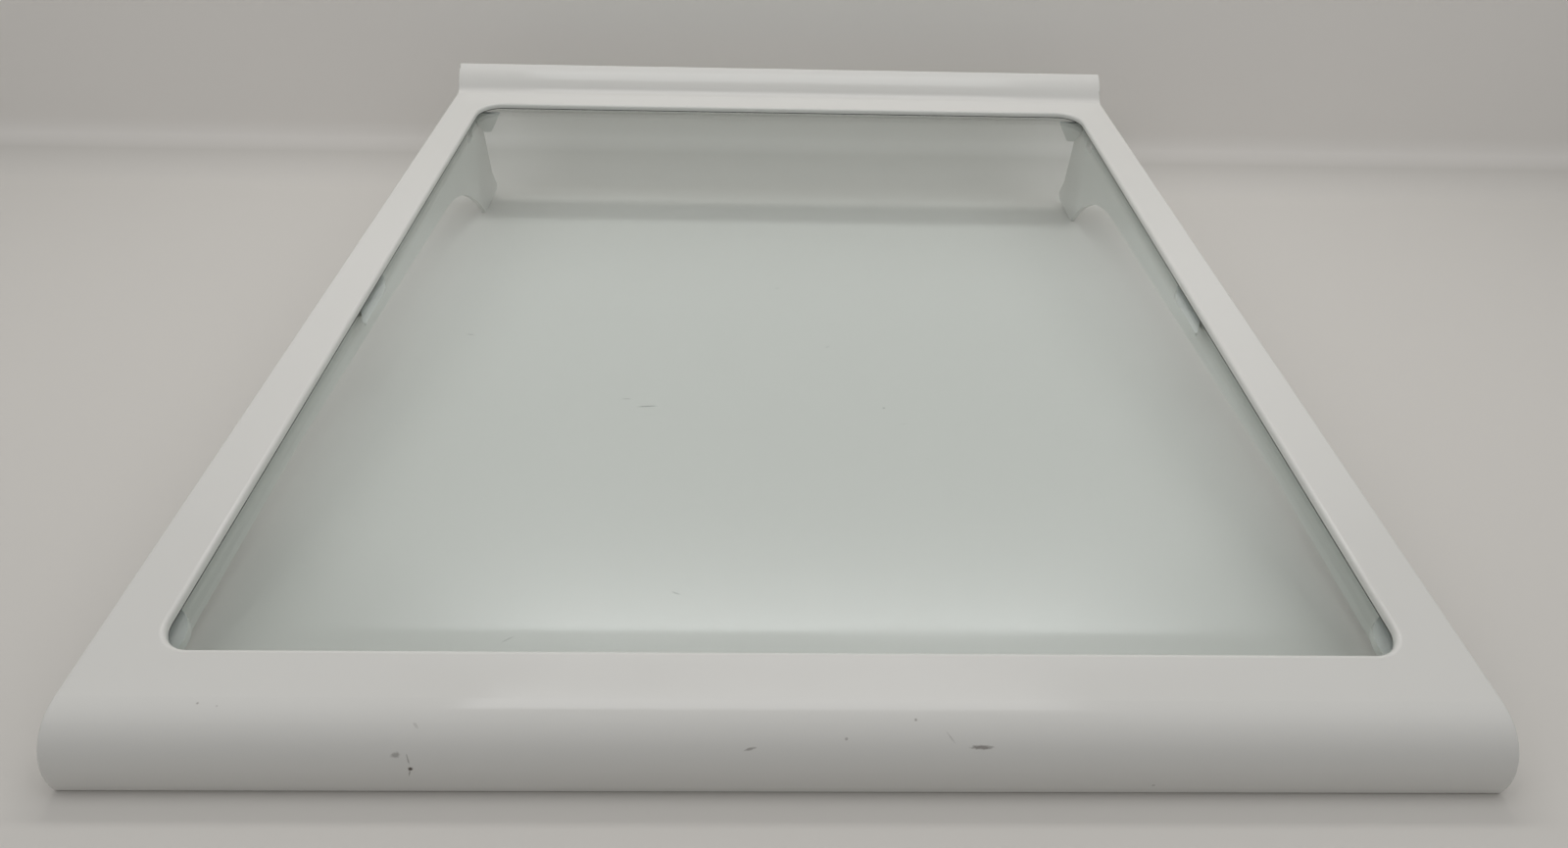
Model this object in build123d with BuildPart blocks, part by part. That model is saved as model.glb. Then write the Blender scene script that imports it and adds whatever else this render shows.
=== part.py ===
from build123d import *
from math import cos, radians, sin
import os

# Fridge glass shelf: a clear tempered pane held in a one-piece white moulding.
# X runs across the shelf, +Y points to the back of the fridge and +Z is up.
# The origin is on the level of the feet, under the middle of the shelf.

# Overall sizes
shelf_width = 400.0
shelf_depth = 450.0
rim_height = 64.0           # top of the rim above the feet

# Moulded wall that runs from the nose over the rim to the rear lip
wall = 3.0
nose_radius = 17.0
nose_drop = 3.0             # upright face below the bullnose
lip_height = 12.5           # crest of the rear lip above the rim
lip_foot_radius = 7.0       # hollow where the lip leaves the rim
lip_slope = 55.0            # steepest slope of the lip, degrees
lip_crest_slope = 20.0      # slope that is left at the crest, degrees
rim_rounding = 1.2
opening_rounding = 1.5

# Window for the pane
front_rail = 32.5           # nose face to the window
side_rail = 18.5            # outer edge to the window
rear_rail = 33.0            # window to the back of the lip
front_corner_radius = 10.0
rear_corner_radius = 13.0

# Pane
glass_thickness = 4.0
glass_overlap = 4.0         # how far the rim covers the edge of the pane
glass_clearance = 0.5       # play between the pane's edge and the walls round it
glass_play = 0.8            # play between the pane, which lies on its ledges, and the rim above it
glass_corner_radius = 4.0
glass_seam = 0.6            # ground bevel on the pane's edges

# Side skirts, each ending in a rear leg behind an arch
skirt_wall = 2.5
skirt_front_drop = 19.5     # rim top to the skirt's lower edge, at the front
skirt_rear_drop = 28.5      # the same, where the arch starts
skirt_level_run = 136.0     # length of the level stretch behind the nose face
arch_run = 60.0
leg_run = 28.5              # arch tip to the leg's rear edge
heel_reach = 5.0            # how far the heel stands out behind the leg
heel_height = 13.0
heel_toe_rise = 2.0
foot_rounding = 1.5

# Ribs under the rim
rib_wall = 2.0
rib_recess = 5.0            # cross ribs stop this far above the nose's lower edge
rib_pitch = 48.0

# Ledges under the pane
web_thickness = 2.5
pad_run = 24.0              # length of each rounded pad beside the pane's front corners
pad_reach = 8.0
pad_from_stop = 11.0        # crown of the pad to the stop rib in front of the pane
catch_length = 41.0
catch_reach = 7.8
catch_height = 6.0
catch_edge = 1.0            # thickness that is left at the catch's inner edge
catch_tip = 1.2             # blunt end of the barb
catch_slant = 14.0          # run of the slanting front end behind the barb
catch_run_out = 22.0        # run of the rounded rear end
catch_back_from_window = 165.5
tab_from_back = 5.0         # rear tab to the wall behind the pane
tab_width = 15.0
tab_height = 11.5
tab_root = 5.3              # height over which the tab joins the skirt
tab_lean = 7.0              # how far the tab's inner edge leans towards the skirt
tab_gap = 3.7               # skirt to the tab's lower end
tab_rounding = 2.0
slot_from_back = 19.5       # slot to the wall behind the pane
slot_length = 10.0
slot_height = 5.0
slot_gap = 4.3              # slot to the underside of the pane
slot_corner = 1.0

# Levels and stations that follow from the sizes above
half_width = shelf_width / 2
front_y = -shelf_depth / 2
back_y = shelf_depth / 2
rim_top = rim_height
rim_underside = rim_top - wall
nose_height = nose_radius + nose_drop
nose_bottom = rim_top - nose_height
window_half = half_width - side_rail
window_front = front_y + front_rail
window_back = back_y - rear_rail
glass_bottom = rim_underside - glass_play - glass_thickness
pocket_side = window_half + glass_overlap + glass_clearance
pocket_front = window_front - glass_overlap - glass_clearance
pocket_back = window_back + glass_overlap + glass_clearance
rib_bottom = nose_bottom + rib_recess

# Rear lip: a hollow arc, then a crowned arc that brings it up to its height
hollow_rise = lip_foot_radius * (1 - cos(radians(lip_slope)))
crown_radius = (lip_height - hollow_rise) / (cos(radians(lip_crest_slope)) - cos(radians(lip_slope)))
hollow_run = lip_foot_radius * sin(radians(lip_slope))
crown_run = crown_radius * (sin(radians(lip_slope)) - sin(radians(lip_crest_slope)))
cap_rounding = 0.45 * wall
cap_lean = (wall - cap_rounding) * sin(radians(lip_crest_slope))
cap_reach = cap_lean + cap_rounding * (1 - cos(radians(lip_crest_slope)))
lip_start = back_y - cap_reach - crown_run - hollow_run


def nose_web(x, bottom):
    """Section of the space inside the nose, down to the given level."""
    mid_radius = nose_radius - wall / 2
    with BuildSketch(Plane.YZ.offset(x)) as web:
        with BuildLine():
            face = Line((front_y + wall / 2, nose_bottom), (front_y + wall / 2, rim_top - nose_radius))
            bend = JernArc(face @ 1, face % 1, mid_radius, -90)
            Polyline(bend @ 1, (pocket_front, rim_top - wall / 2), (pocket_front, nose_bottom), face @ 0)
        make_face()
        with Locations((front_y, bottom)):
            Rectangle(front_rail, nose_height, align=(Align.MIN, Align.MIN), mode=Mode.INTERSECT)
    return web.sketch


os.makedirs("parts", exist_ok=True)

# Frame: one injection moulding
with BuildPart() as frame:
    # Wall of even thickness from the nose's lower edge to the crest of the lip
    with BuildSketch(Plane.YZ) as section:
        with BuildLine():
            nose_face = Line((front_y, nose_bottom), (front_y, rim_top - nose_radius))
            nose = JernArc(nose_face @ 1, nose_face % 1, nose_radius, -90)
            deck = Line(nose @ 1, (lip_start, rim_top))
            hollow = JernArc(deck @ 1, deck % 1, lip_foot_radius, lip_slope)
            crown = JernArc(hollow @ 1, hollow % 1, crown_radius, lip_crest_slope - lip_slope)
            offset(amount=wall, side=Side.RIGHT)
        make_face()
        fillet(section.vertices().group_by(Axis.Y)[0], cap_rounding)
        fillet(section.vertices().sort_by(Axis.X)[-2:], cap_rounding)
    extrude(amount=half_width, both=True)
    ends = frame.faces().filter_by(Axis.X)
    fillet(ends.edges(), rim_rounding)

    # Window for the pane, with wider corners at the back
    with BuildSketch(Plane.XY.offset(rim_top)) as window:
        with Locations((0, (window_front + window_back) / 2)):
            Rectangle(2 * window_half, window_back - window_front)
        fillet(window.vertices().group_by(Axis.Y)[0], front_corner_radius)
        fillet(window.vertices().group_by(Axis.Y)[-1], rear_corner_radius)
    extrude(amount=-wall, mode=Mode.SUBTRACT)
    top_face = frame.faces().filter_by(Axis.Z).sort_by(Axis.Z)[-1]
    fillet(top_face.inner_wires()[0].edges(), opening_rounding)

    for side in (-1, 1):
        # Skirt with its arch, leg and heel
        leg_back = pocket_back + skirt_wall
        tip_y = leg_back - leg_run
        heel_y = leg_back + heel_reach
        with BuildSketch(Plane.YZ.offset(side * pocket_side)) as skirt:
            with BuildLine():
                level = Line(
                    (pocket_front - rib_wall / 2, rim_top - skirt_front_drop),
                    (front_y + skirt_level_run, rim_top - skirt_front_drop),
                )
                taper = Line(level @ 1, (tip_y - arch_run, rim_top - skirt_rear_drop))
                arch = TangentArc(taper @ 1, (tip_y, 0), tangent=taper % 1)
                Polyline(
                    arch @ 1,
                    (leg_back, 0),
                    (heel_y, heel_toe_rise),
                    (leg_back, heel_height),
                    (leg_back, rim_top - wall / 2),
                    (pocket_front - rib_wall / 2, rim_top - wall / 2),
                    level @ 0,
                )
            make_face()
            fillet(skirt.vertices().group_by(Axis.Y)[0].sort_by(Axis.X)[0], foot_rounding)
            fillet(skirt.vertices().sort_by(Axis.X)[-1], foot_rounding)
        extrude(amount=side * skirt_wall)

        # Slot through the skirt in front of the rear tab
        slot_y = pocket_back - slot_from_back - slot_length / 2
        slot_z = glass_bottom - slot_gap - slot_height / 2
        with BuildSketch(Plane.YZ.offset(side * pocket_side)):
            with Locations((slot_y, slot_z)):
                RectangleRounded(slot_length, slot_height, slot_corner)
        extrude(amount=side * skirt_wall, mode=Mode.SUBTRACT)

        # Rounded pad that the pane's front corner lies on
        web_edge = side * (pocket_side + skirt_wall / 2)
        pad_y = pocket_front + pad_from_stop
        with BuildSketch(Plane.XY.offset(glass_bottom)):
            with BuildLine():
                crest = ThreePointArc(
                    (side * pocket_side, pad_y - pad_run / 2),
                    (side * (pocket_side - pad_reach), pad_y),
                    (side * pocket_side, pad_y + pad_run / 2),
                )
                Polyline(crest @ 1, (web_edge, pad_y + pad_run / 2), (web_edge, pad_y - pad_run / 2), crest @ 0)
            make_face()
        extrude(amount=-web_thickness)

        # Upright tab under the pane's rear corner
        tab_y = pocket_back - tab_from_back - web_thickness
        with BuildSketch(Plane.XZ.offset(-tab_y)) as tab:
            with BuildLine():
                Polyline(
                    (web_edge, glass_bottom),
                    (side * (pocket_side - tab_width), glass_bottom),
                    (side * (pocket_side - tab_width + tab_lean), glass_bottom - tab_height),
                    (side * (pocket_side - tab_gap), glass_bottom - tab_height),
                    (side * pocket_side, glass_bottom - tab_root),
                    (web_edge, glass_bottom - tab_root),
                    close=True,
                )
            make_face()
            fillet(tab.vertices().group_by(Axis.Y)[0], tab_rounding)
        extrude(amount=-web_thickness)

        # Wedge catch half way along the skirt, which ends in a barb at the front and runs out round at the back
        catch_y = window_front + catch_back_from_window
        catch_back = catch_y + catch_length
        with BuildSketch(Plane.XZ.offset(-catch_y)):
            with BuildLine():
                Polyline(
                    (web_edge, glass_bottom),
                    (side * (pocket_side - catch_reach), glass_bottom),
                    (side * (pocket_side - catch_reach), glass_bottom - catch_edge),
                    (side * pocket_side, glass_bottom - catch_height),
                    (web_edge, glass_bottom - catch_height),
                    close=True,
                )
            make_face()
        extrude(amount=-catch_length)
        with BuildSketch(Plane.XY.offset(glass_bottom)):
            with BuildLine():
                Polyline(
                    (side * pocket_side, catch_y),
                    (side * (pocket_side - catch_reach + catch_tip), catch_y),
                    (side * pocket_side, catch_y + catch_slant),
                    close=True,
                )
            make_face()
            with BuildLine():
                inner = Line(
                    (side * (pocket_side - catch_reach), catch_back),
                    (side * (pocket_side - catch_reach), catch_back - catch_run_out),
                )
                run_out = TangentArc(inner @ 1, (side * pocket_side, catch_back), tangent=inner % 1 * -1)
                Line(run_out @ 1, inner @ 0)
            make_face()
        extrude(amount=-catch_height, mode=Mode.SUBTRACT)

        # End wall of the nose, and the skirt's continuation inside it
        extrude(nose_web(side * half_width, nose_bottom + cap_rounding), amount=-side * wall)
        extrude(nose_web(side * pocket_side, rim_top - skirt_front_drop), amount=side * skirt_wall)

    # Stop ribs in front of the pane and behind it
    span = 2 * pocket_side + skirt_wall
    with BuildSketch(Plane.XY.offset(rim_top - wall / 2)):
        with Locations((0, pocket_front - rib_wall / 2)):
            Rectangle(span, rib_wall)
    extrude(amount=wall / 2 - skirt_front_drop)
    with BuildSketch(Plane.XY.offset(rim_top - wall / 2)):
        with Locations((0, pocket_back + rib_wall / 2)):
            Rectangle(span, rib_wall)
    extrude(amount=glass_bottom - rim_top + wall / 2)

    # Cross ribs inside the nose
    rib_count = int((2 * pocket_side) // rib_pitch)
    for index in range(rib_count):
        rib_x = (index - (rib_count - 1) / 2) * rib_pitch
        extrude(nose_web(rib_x, rib_bottom), amount=rib_wall / 2, both=True)

frame.part.label = "frame"
export_step(frame.part, "parts/frame.step")

# Pane: tempered glass with ground edges, lying on the ledges under the rim
with BuildPart() as glass_pane:
    with BuildSketch(Plane.XY.offset(glass_bottom)):
        with Locations((0, (pocket_front + pocket_back) / 2)):
            RectangleRounded(
                2 * (pocket_side - glass_clearance),
                pocket_back - pocket_front - 2 * glass_clearance,
                glass_corner_radius,
            )
    extrude(amount=glass_thickness)
    chamfer(glass_pane.faces().filter_by(Axis.Z).edges(), glass_seam)

glass_pane.part.label = "glass_pane"
export_step(glass_pane.part, "parts/glass_pane.step")
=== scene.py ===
import math

import bmesh
import bpy
from mathutils import Matrix, Vector


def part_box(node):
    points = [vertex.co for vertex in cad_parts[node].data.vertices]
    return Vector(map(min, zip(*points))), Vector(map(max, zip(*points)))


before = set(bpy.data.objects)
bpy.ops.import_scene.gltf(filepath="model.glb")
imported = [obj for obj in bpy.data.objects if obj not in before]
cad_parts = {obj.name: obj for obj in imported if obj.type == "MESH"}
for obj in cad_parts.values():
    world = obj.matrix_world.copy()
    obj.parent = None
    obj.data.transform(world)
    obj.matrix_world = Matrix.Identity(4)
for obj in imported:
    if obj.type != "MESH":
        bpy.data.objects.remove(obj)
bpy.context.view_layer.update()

# Frame: the one-piece white moulding with the bullnose front, side rims and skirts, rear lip and legs.
# It is injection moulded ABS from a polished cavity, and its rim overlaps the pane all round.
# Handling has left small rubs on the front and hairlines from wiping, and the seam round the pane is painted
# dark as shade.
MM = 0.001
rim_top = 64 * MM
rim_wall = 3 * MM
nose_radius = 17 * MM
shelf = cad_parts["frame"]
shelf_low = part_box("frame")[0]
pane_low, pane_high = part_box("glass_pane")
# The colour sockets of a Mix node, which share their names with its other sockets.
FACTOR, FROM_COLOUR, TO_COLOUR, MIXED = 0, 6, 7, 2


def linear(code):
    """An sRGB hex colour as linear RGBA."""
    channels = [int(code[i:i + 2], 16) / 255 for i in (1, 3, 5)]
    return [c / 12.92 if c <= 0.04045 else ((c + 0.055) / 1.055) ** 2.4 for c in channels] + [1.0]


def add(tree, kind, inputs=None, **settings):
    """A new node with its settings, and its sockets linked or set."""
    made = tree.nodes.new(kind)
    for name, value in settings.items():
        setattr(made, name, value)
    for socket, value in (inputs or {}).items():
        if isinstance(value, bpy.types.NodeSocket):
            tree.links.new(value, made.inputs[socket])
        else:
            made.inputs[socket].default_value = value
    return made


def new_material(name):
    """An empty node material, with its tree and its output node."""
    material = bpy.data.materials.new(name)
    material.use_nodes = True
    tree = material.node_tree
    tree.nodes.clear()
    return material, tree, add(tree, "ShaderNodeOutputMaterial")


def on_front(x, arc):
    """A place on the front and its tilt, where arc runs forward and down from the bullnose's rear edge."""
    tilt = min(max(arc / nose_radius, 0), math.pi / 2)
    outwards = Vector((0, -math.sin(tilt), math.cos(tilt)))
    onwards = Vector((0, -math.cos(tilt), -math.sin(tilt)))
    axis = Vector((x, shelf_low.y + nose_radius, rim_top - nose_radius))
    return axis + outwards * nose_radius + onwards * (arc - tilt * nose_radius), tilt


def lens_mark(tree, place, centre, lie, reach, width, strength, grit):
    """How strongly a lens-shaped mark shows, with a ragged edge."""
    depth = 1 * MM
    raggedness = 0.9
    full_within, gone_beyond = 0.9, 1.5
    near = add(tree, "ShaderNodeMapping", {
        "Vector": place,
        "Location": centre,
        "Rotation": lie.to_euler(),
        "Scale": (reach, width, depth),
    }, vector_type="TEXTURE")
    far = add(tree, "ShaderNodeVectorMath", {0: near.outputs["Vector"]}, operation="LENGTH")
    edge = add(tree, "ShaderNodeMath", {
        0: grit.outputs["Fac"], 1: raggedness, 2: far.outputs["Value"],
    }, operation="MULTIPLY_ADD")
    return add(tree, "ShaderNodeMapRange", {
        "Value": edge.outputs["Value"],
        "From Min": gone_beyond,
        "From Max": full_within,
        "To Max": strength,
    }).outputs["Result"]


def strongest(tree, marks):
    """How strongly the strongest of several marks shows at each place."""
    shown = marks[0]
    for mark in marks[1:]:
        shown = add(tree, "ShaderNodeMath", {0: shown, 1: mark}, operation="MAXIMUM").outputs["Value"]
    return shown


# Polished ABS: a clean, slightly warm white with a clear gloss. Wiping leaves soft dull patches and
# hairlines in the gloss, the mould a faint waviness, and knocks a few brown-grey rubs on the front.
abs_white = "#D8D7D3"
rub_brown = "#5E554E"
abs_ior = 1.52
polished_roughness = 0.1
dulled_roughness = 0.2
haze_size = 60 * MM
haze_start, haze_full = 0.35, 0.65
wave_size = 30 * MM
wave_depth = 0.05 * MM
grit_size = 0.6 * MM
# Real hairlines are a tenth of this width, too fine to show.
hairline_length = 80 * MM
hairline_gap = 0.6 * MM
hairline_start, hairline_full = 0.68, 0.76
hairline_roughness = 0.06
material, tree, output = new_material("moulded_white_abs")
place = add(tree, "ShaderNodeTexCoord").outputs["Object"]

haze = add(tree, "ShaderNodeTexNoise", {"Vector": place, "Scale": 1 / haze_size, "Detail": 3.0})
dull = add(tree, "ShaderNodeMapRange", {
    "Value": haze.outputs["Fac"],
    "From Min": haze_start,
    "From Max": haze_full,
    "To Min": polished_roughness,
    "To Max": dulled_roughness,
})
drawn = add(tree, "ShaderNodeMapping", {
    "Vector": place, "Scale": (1 / hairline_length, 1 / hairline_gap, 1 / hairline_gap),
})
hair = add(tree, "ShaderNodeTexNoise", {"Vector": drawn.outputs["Vector"], "Scale": 1.0, "Detail": 1.0})
hairline = add(tree, "ShaderNodeMapRange", {
    "Value": hair.outputs["Fac"],
    "From Min": hairline_start,
    "From Max": hairline_full,
    "To Max": hairline_roughness,
})
roughness = add(tree, "ShaderNodeMath", {0: dull.outputs["Result"], 1: hairline.outputs["Result"]})

grit = add(tree, "ShaderNodeTexNoise", {"Vector": place, "Scale": 1 / grit_size, "Detail": 2.0})
# Across, along the front, half length, half width (all mm), turn in degrees, strength.
rubs = [
    (-105.3, 15.2, 1.4, 0.9, 12, 0.45),
    (-102.0, 16.4, 1.9, 0.25, -76, 0.45),
    (-101.5, 19.2, 0.8, 0.65, 0, 1.0),
    (-101.9, 20.6, 1.3, 0.25, 74, 0.5),
    (-100.5, 7.5, 1.3, 0.45, -43, 0.2),
    (-10.7, 13.3, 1.9, 0.45, 15, 0.5),
    (15.2, 10.6, 0.55, 0.5, 0, 0.4),
    (34.2, 5.6, 0.5, 0.45, 0, 0.5),
    (43.5, 10.2, 2.2, 0.25, -53, 0.25),
    (51.8, 12.7, 3.6, 0.7, 0, 0.65),
    (100.0, 24.8, 0.55, 0.5, 0, 0.35),
    (-160.2, 1.8, 0.45, 0.4, 0, 0.45),
    (-154.7, 2.6, 0.4, 0.35, 0, 0.25),
]
marks = []
for across, arc, reach, width, turn, strength in rubs:
    centre, tilt = on_front(across * MM, arc * MM)
    lie = Matrix.Rotation(tilt, 3, "X") @ Matrix.Rotation(math.radians(turn), 3, "Z")
    marks.append(lens_mark(tree, place, centre, lie, reach * MM, width * MM, strength, grit))
worn = add(tree, "ShaderNodeMix", {
    FACTOR: strongest(tree, marks), FROM_COLOUR: linear(abs_white), TO_COLOUR: linear(rub_brown),
}, data_type="RGBA")


def within(tree, place, low, high, soft):
    """1 inside the box between two corners, fading to 0 over a soft margin round it."""
    half = (high - low) / 2
    near = add(tree, "ShaderNodeVectorMath", {0: place, 1: (low + high) / 2}, operation="SUBTRACT")
    size = add(tree, "ShaderNodeVectorMath", {0: near.outputs["Vector"]}, operation="ABSOLUTE")
    over = add(tree, "ShaderNodeVectorMath", {0: size.outputs["Vector"], 1: half}, operation="SUBTRACT")
    axes = add(tree, "ShaderNodeSeparateXYZ", {"Vector": over.outputs["Vector"]}).outputs
    level = add(tree, "ShaderNodeMath", {0: axes["X"], 1: axes["Y"]}, operation="MAXIMUM")
    most = add(tree, "ShaderNodeMath", {0: level.outputs["Value"], 1: axes["Z"]}, operation="MAXIMUM")
    return add(tree, "ShaderNodeMapRange", {
        "Value": most.outputs["Value"], "From Min": soft, "From Max": 0.0,
    }).outputs["Result"]


# The seam between the pane and the rim above it is painted near-black: painted shade for the gap there.
seam_painted_shade = "#2E2D2A"
groove = 1 * MM
seam_rise = 0.3 * MM
seam_fade = 0.3 * MM
rim_underside = rim_top - rim_wall
seam_room = Vector((groove, groove, 0))
seam_low = Vector((pane_low.x, pane_low.y, pane_high.z)) - seam_room
seam_high = Vector((pane_high.x, pane_high.y, rim_underside + seam_rise)) + seam_room
# Painted shade: the near-black colour is mixed in over the box round the gap between pane and rim.
shaded_seam = add(tree, "ShaderNodeMix", {
    FACTOR: within(tree, place, seam_low, seam_high, seam_fade),
    FROM_COLOUR: worn.outputs[MIXED],
    TO_COLOUR: linear(seam_painted_shade),
}, data_type="RGBA")

wave = add(tree, "ShaderNodeTexNoise", {"Vector": place, "Scale": 1 / wave_size, "Detail": 1.0})
bump = add(tree, "ShaderNodeBump", {"Strength": 1.0, "Distance": wave_depth, "Height": wave.outputs["Fac"]})
shader = add(tree, "ShaderNodeBsdfPrincipled", {
    "Base Color": shaded_seam.outputs[MIXED],
    "Roughness": roughness.outputs["Value"],
    "IOR": abs_ior,
    "Normal": bump.outputs["Normal"],
})
tree.links.new(shader.outputs["BSDF"], output.inputs["Surface"])
shelf.data.materials.clear()
shelf.data.materials.append(material)

# Pane: one flat sheet of tempered float glass with ground edges, recessed under the rim on all four sides.
# It rests on the frame's pads, catches and tabs, and the rim that overlaps its edges holds it down.
# Iron tints the glass green, most of all where the eye looks along the sheet, and use has scratched it.
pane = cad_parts["glass_pane"]
# Float glass: its flat, fire-polished faces mirror and show things sharply, and a film blurs both in places.
glass_clear = "#FFFFFF"
glass_tint = "#F0FAF9"
scratch_grey = "#77756F"
glass_ior = 1.52
tint_depth = 10 * MM
smear_size = 130 * MM
film_start, film_full = 0.45, 0.7
film_roughness = 0.06
material, tree, output = new_material("tempered_float_glass")
place = add(tree, "ShaderNodeTexCoord").outputs["Object"]
grit = add(tree, "ShaderNodeTexNoise", {"Vector": place, "Scale": 1 / grit_size, "Detail": 2.0})
# Across, front to back, half length, half width (all mm), turn in degrees, strength.
# The widths are drawn coarse to show.
scratches = [
    (-61.5, -77.0, 2.3, 0.35, 2, 0.4),
    (-52.9, -81.3, 4.2, 0.4, 5, 0.75),
    (-82.7, -186.5, 2.2, 0.3, 35, 0.4),
    (-34.6, -169.4, 2.0, 0.3, -20, 0.4),
    (-3.0, 1.0, 1.8, 0.45, 10, 0.35),
    (-131.3, -36.6, 2.2, 0.4, -8, 0.4),
    (17.7, -42.5, 1.6, 0.4, 25, 0.35),
    (37.9, -80.8, 0.7, 0.6, 0, 0.5),
    (44.5, -90.0, 2.8, 0.3, 15, 0.25),
]
marks = []
for across, along, reach, width, turn, strength in scratches:
    centre = Vector((across * MM, along * MM, pane_high.z))
    lie = Matrix.Rotation(math.radians(turn), 3, "Z")
    marks.append(lens_mark(tree, place, centre, lie, reach * MM, width * MM, strength, grit))
clear = add(tree, "ShaderNodeMix", {
    FACTOR: strongest(tree, marks), FROM_COLOUR: linear(glass_clear), TO_COLOUR: linear(scratch_grey),
}, data_type="RGBA")
smear = add(tree, "ShaderNodeTexNoise", {"Vector": place, "Scale": 1 / smear_size, "Detail": 4.0})
film = add(tree, "ShaderNodeMapRange", {
    "Value": smear.outputs["Fac"], "From Min": film_start, "From Max": film_full, "To Max": film_roughness,
})
shader = add(tree, "ShaderNodeBsdfPrincipled", {
    "Base Color": clear.outputs[MIXED],
    "Roughness": film.outputs["Result"],
    "IOR": glass_ior,
    "Transmission Weight": 1.0,
})
# Light on its way to and from what lies under the pane goes straight through, less what each face mirrors.
# It isn't bent, so it meets both faces at its angle in air. On a back face the Fresnel node turns its
# index over, as for light inside the glass, and an index that is turned over beforehand undoes that.
leaving = add(tree, "ShaderNodeNewGeometry").outputs["Backfacing"]
index = add(tree, "ShaderNodeMapRange", {"Value": leaving, "To Min": glass_ior, "To Max": 1 / glass_ior})
mirrored = add(tree, "ShaderNodeFresnel", {"IOR": index.outputs["Result"]})
through = add(tree, "ShaderNodeBsdfTransparent")
mirror = add(tree, "ShaderNodeBsdfAnisotropic", {"Color": linear(glass_clear), "Roughness": 0.0})
passing = add(tree, "ShaderNodeMixShader", {
    0: mirrored.outputs["Fac"],
    1: through.outputs["BSDF"],
    2: mirror.outputs["BSDF"],
})
ray = add(tree, "ShaderNodeLightPath").outputs
light_ray = add(tree, "ShaderNodeMath", {
    0: ray["Is Shadow Ray"], 1: ray["Diffuse Depth"],
}, operation="MAXIMUM")
surface = add(tree, "ShaderNodeMixShader", {
    0: light_ray.outputs["Value"],
    1: shader.outputs["BSDF"],
    2: passing.outputs["Shader"],
})
body = add(tree, "ShaderNodeVolumeAbsorption", {"Color": linear(glass_tint), "Density": 1 / tint_depth})
tree.links.new(surface.outputs["Shader"], output.inputs["Surface"])
tree.links.new(body.outputs["Volume"], output.inputs["Volume"])
pane.data.materials.clear()
pane.data.materials.append(material)

# Floor and backdrop: a pale sheet, which the shelf lies on with its nose and the tips of its legs, and
# a paler one that bends up close behind it.
# The shelf stays level in its own frame, so the sheets are what slopes.
sheet_width = 6.0
sheet_front = -3.0
sheet_back = 0.215
sweep_radius = 0.035
sweep_steps = 24
wall_height = 1.2
front_strip = 5 * MM
sole = 0.2 * MM
points = [v.co for v in shelf.data.vertices]
nose_edge = min((p for p in points if p.y < shelf_low.y + front_strip), key=lambda p: p.z)
toe = min((p for p in points if p.z < sole), key=lambda p: p.y)
slope = math.atan2(nose_edge.z - toe.z, toe.y - nose_edge.y)
under_shelf = Matrix.Translation(toe) @ Matrix.Rotation(-slope, 4, "X") @ Matrix.Translation((0, -toe.y, 0))

# Matt paper: hardly any gloss, and paler up the backdrop. Its back is clear to the eye, so that the
# shelf can be seen from below and behind.
paper_grey = "#CECBC6"
paper_pale = "#E6E3DF"
paper_roughness = 0.85
pale_from = sheet_back + 0.85 * sweep_radius
pale_to = sheet_back + sweep_radius
paper, tree, output = new_material("matt_pale_paper")
place = add(tree, "ShaderNodeTexCoord").outputs["Object"]
depth = add(tree, "ShaderNodeSeparateXYZ", {"Vector": place}).outputs["Y"]
up_the_bend = add(tree, "ShaderNodeMapRange", {"Value": depth, "From Min": pale_from, "From Max": pale_to})
shade = add(tree, "ShaderNodeMix", {
    FACTOR: up_the_bend.outputs["Result"], FROM_COLOUR: linear(paper_grey), TO_COLOUR: linear(paper_pale),
}, data_type="RGBA")
shader = add(tree, "ShaderNodeBsdfPrincipled", {
    "Base Color": shade.outputs[MIXED], "Roughness": paper_roughness,
})
unseen = add(tree, "ShaderNodeBsdfTransparent")
behind = add(tree, "ShaderNodeNewGeometry").outputs["Backfacing"]
seen = add(tree, "ShaderNodeLightPath").outputs["Is Camera Ray"]
from_behind = add(tree, "ShaderNodeMath", {0: behind, 1: seen}, operation="MULTIPLY")
surface = add(tree, "ShaderNodeMixShader", {
    0: from_behind.outputs["Value"],
    1: shader.outputs["BSDF"],
    2: unseen.outputs["BSDF"],
})
tree.links.new(surface.outputs["Shader"], output.inputs["Surface"])


def sheet_edge(y):
    """A mesh that is one edge, as long as the sheet is wide."""
    bm = bmesh.new()
    bm.edges.new([bm.verts.new((x, y, 0)) for x in (-sheet_width / 2, sheet_width / 2)])
    return bm


def draw_out(bm, edges, way):
    """Edges drawn out to faces along a way."""
    grown = bmesh.ops.extrude_edge_only(bm, edges=edges)
    verts = [v for v in grown["geom"] if isinstance(v, bmesh.types.BMVert)]
    bmesh.ops.translate(bm, verts=verts, vec=way)


def lay(bm, name):
    """The stage piece that a mesh makes, at the slope that the shelf needs, with its face to the shelf."""
    bmesh.ops.recalc_face_normals(bm, faces=list(bm.faces))
    lowest = min(bm.faces, key=lambda face: face.calc_center_median().z)
    if lowest.normal.z < 0:
        bmesh.ops.reverse_faces(bm, faces=list(bm.faces))
    bmesh.ops.transform(bm, matrix=under_shelf, verts=list(bm.verts))
    for face in bm.faces:
        face.smooth = True
    mesh = bpy.data.meshes.new(name)
    bm.to_mesh(mesh)
    bm.free()
    mesh.materials.append(paper)
    made = bpy.data.objects.new(name, mesh)
    bpy.context.scene.collection.objects.link(made)
    return made


bm = sheet_edge(sheet_front)
draw_out(bm, list(bm.edges), (0, sheet_back - sheet_front, 0))
lay(bm, "floor")

bm = sheet_edge(sheet_back)
bmesh.ops.spin(
    bm, geom=list(bm.edges), cent=(0, sheet_back, sweep_radius), axis=(1, 0, 0),
    angle=math.radians(90), steps=sweep_steps,
)
top = [e for e in bm.edges if all(abs(v.co.z - sweep_radius) < MM for v in e.verts)]
draw_out(bm, top, (0, 0, wall_height))
backdrop = lay(bm, "backdrop")
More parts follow.
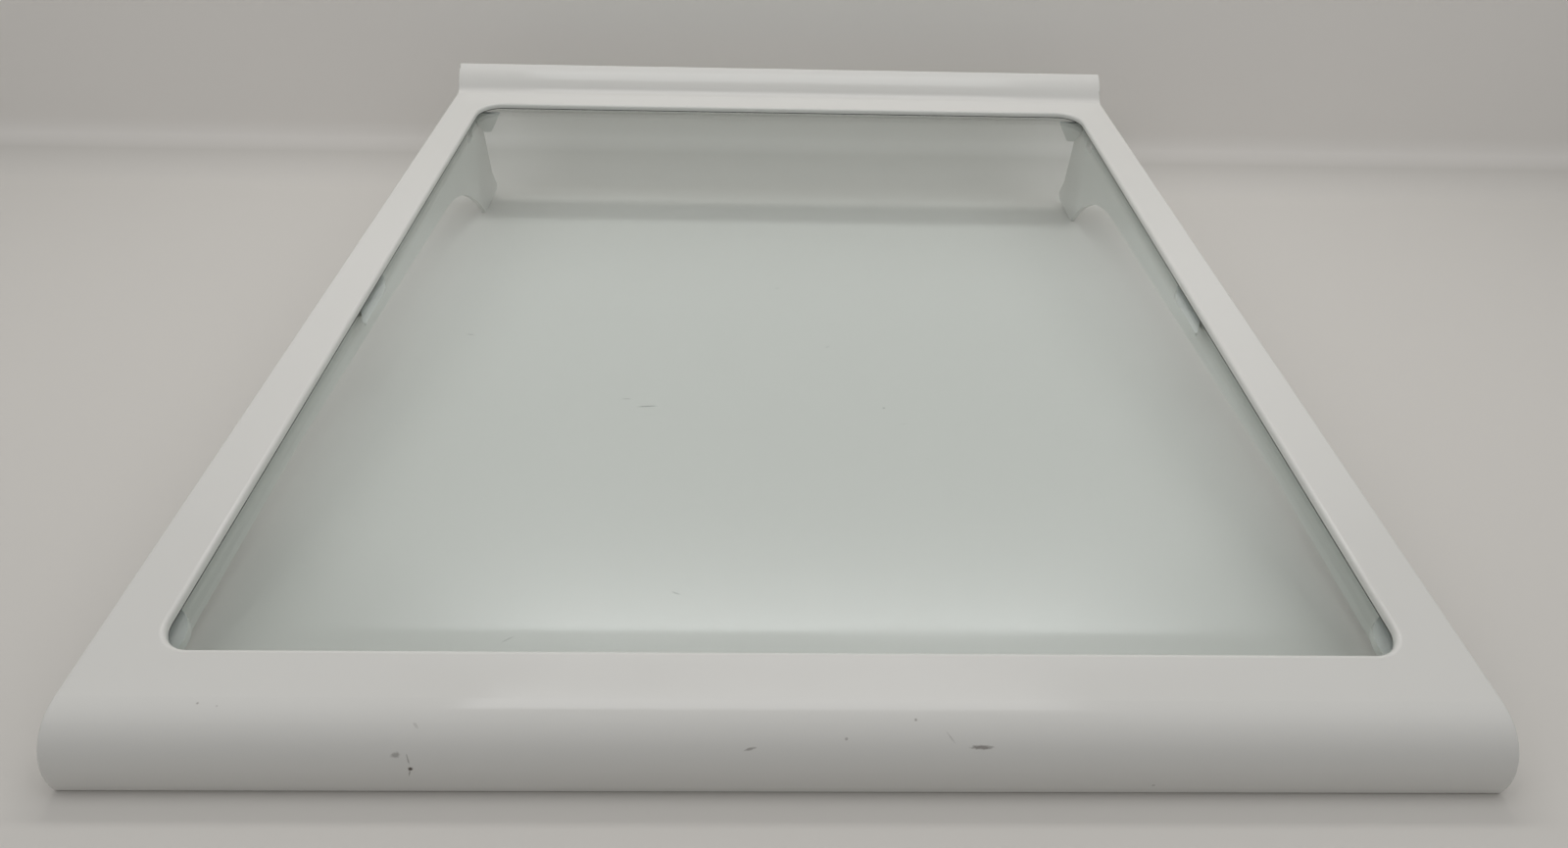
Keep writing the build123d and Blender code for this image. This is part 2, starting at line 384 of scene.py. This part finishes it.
# The back softbox stands behind the backdrop and shines through it.
backdrop.visible_shadow = False


# Light: a softbox overhead, one slanting down from each side, one behind that shines over the rear edge,
# and an even pale surround. A standing one close behind the shelf lights nothing by itself: it is what the
# glass and the gloss mirror, brightest near its top and fading towards its foot and its sides.
def softbox(name, centre, aim, width, height, power, mirrored):
    """A rectangular lamp along aim, unseen by the camera, and by gloss and glass unless mirrored."""
    lamp = bpy.data.lights.new(name, "AREA")
    lamp.shape = "RECTANGLE"
    lamp.size = width
    lamp.size_y = height
    lamp.energy = power
    made = bpy.data.objects.new(name, lamp)
    made.location = centre
    made.rotation_euler = Vector(aim).to_track_quat("-Z", "Y").to_euler()
    made.visible_camera = False
    made.visible_glossy = mirrored
    made.visible_transmission = mirrored
    bpy.context.scene.collection.objects.link(made)
    return made


softbox(
    "top_softbox", centre=(0, 0.1, 0.85), aim=(0, 0, -1),
    width=0.7, height=0.35, power=1.2, mirrored=True,
)
side_reach, side_height = 0.55, 0.65
for name, side in (("left_softbox", -1), ("right_softbox", 1)):
    softbox(
        name, centre=(side_reach * side, -0.1, side_height), aim=(-side_reach * side, 0, -side_height),
        width=0.6, height=0.4, power=0.75, mirrored=False,
    )

standing_middle, standing_foot, standing_height = 0.05, 0.12, 0.64
foot_end = 0.24
brightest = 0.68
crown_edge = 0.69
crown_level = 0.35
climb = 5.0
base_level, added_level = 0.4, 1.8
edge_start, edge_end = 0.22, 0.62
rear_softbox = softbox(
    "rear_softbox", centre=(standing_middle, 0.255, standing_foot + standing_height / 2), aim=(0, -1, 0),
    width=1.3, height=standing_height, power=2.6, mirrored=True,
)
rear_softbox.visible_diffuse = False
rear_softbox.data.use_nodes = True
tree = rear_softbox.data.node_tree
place = add(tree, "ShaderNodeNewGeometry").outputs["Position"]
axes = add(tree, "ShaderNodeSeparateXYZ", {"Vector": place}).outputs
height = add(tree, "ShaderNodeMapRange", {
    "Value": axes["Z"], "From Min": standing_foot, "From Max": brightest,
})
rise = add(tree, "ShaderNodeMath", {0: height.outputs["Result"], 1: climb}, operation="POWER")
upwards = add(tree, "ShaderNodeMath", {
    0: rise.outputs["Value"], 1: added_level, 2: base_level,
}, operation="MULTIPLY_ADD")
foot = add(tree, "ShaderNodeMapRange", {
    "Value": axes["Z"], "From Min": standing_foot, "From Max": foot_end,
}, interpolation_type="SMOOTHSTEP")
crown = add(tree, "ShaderNodeMapRange", {
    "Value": axes["Z"], "From Min": crown_edge, "From Max": brightest, "To Min": crown_level,
})
offset = add(tree, "ShaderNodeMath", {0: axes["X"], 1: standing_middle}, operation="SUBTRACT")
offset = add(tree, "ShaderNodeMath", {0: offset.outputs["Value"]}, operation="ABSOLUTE")
inwards = add(tree, "ShaderNodeMapRange", {
    "Value": offset.outputs["Value"], "From Min": edge_end, "From Max": edge_start,
}, interpolation_type="SMOOTHSTEP")
glow = upwards
for fade in (foot, crown, inwards):
    glow = add(tree, "ShaderNodeMath", {
        0: glow.outputs["Value"], 1: fade.outputs["Result"],
    }, operation="MULTIPLY")
tree.links.new(glow.outputs["Value"], tree.nodes["Emission"].inputs["Strength"])

softbox(
    "back_softbox", centre=(0, 0.55, 0.8), aim=(0, -0.5, -0.8),
    width=0.9, height=0.1, power=2.2, mirrored=False,
)

surround_white = "#F2F2F2"
surround_strength = 0.38
world = bpy.data.worlds.new("pale_surround")
world.use_nodes = True
surround = world.node_tree.nodes["Background"].inputs
surround["Color"].default_value = linear(surround_white)
surround["Strength"].default_value = surround_strength
bpy.context.scene.world = world
bpy.context.scene.view_settings.view_transform = "Standard"

# Camera: low over the front edge, looking down along the shelf.
# Its lens and sensor are in mm, its turns in degrees.
sensor_width = 36.0
focal_length = 20.49
camera_place = Vector((-7.2, -339.9, 284.4)) * MM
camera_turns = (48.032, -1.174, -0.449)
view = bpy.data.cameras.new("camera")
view.sensor_width = sensor_width
view.lens = focal_length
camera = bpy.data.objects.new("camera", view)
camera.location = camera_place
camera.rotation_euler = [math.radians(turn) for turn in camera_turns]
bpy.context.scene.collection.objects.link(camera)
bpy.context.scene.camera = camera
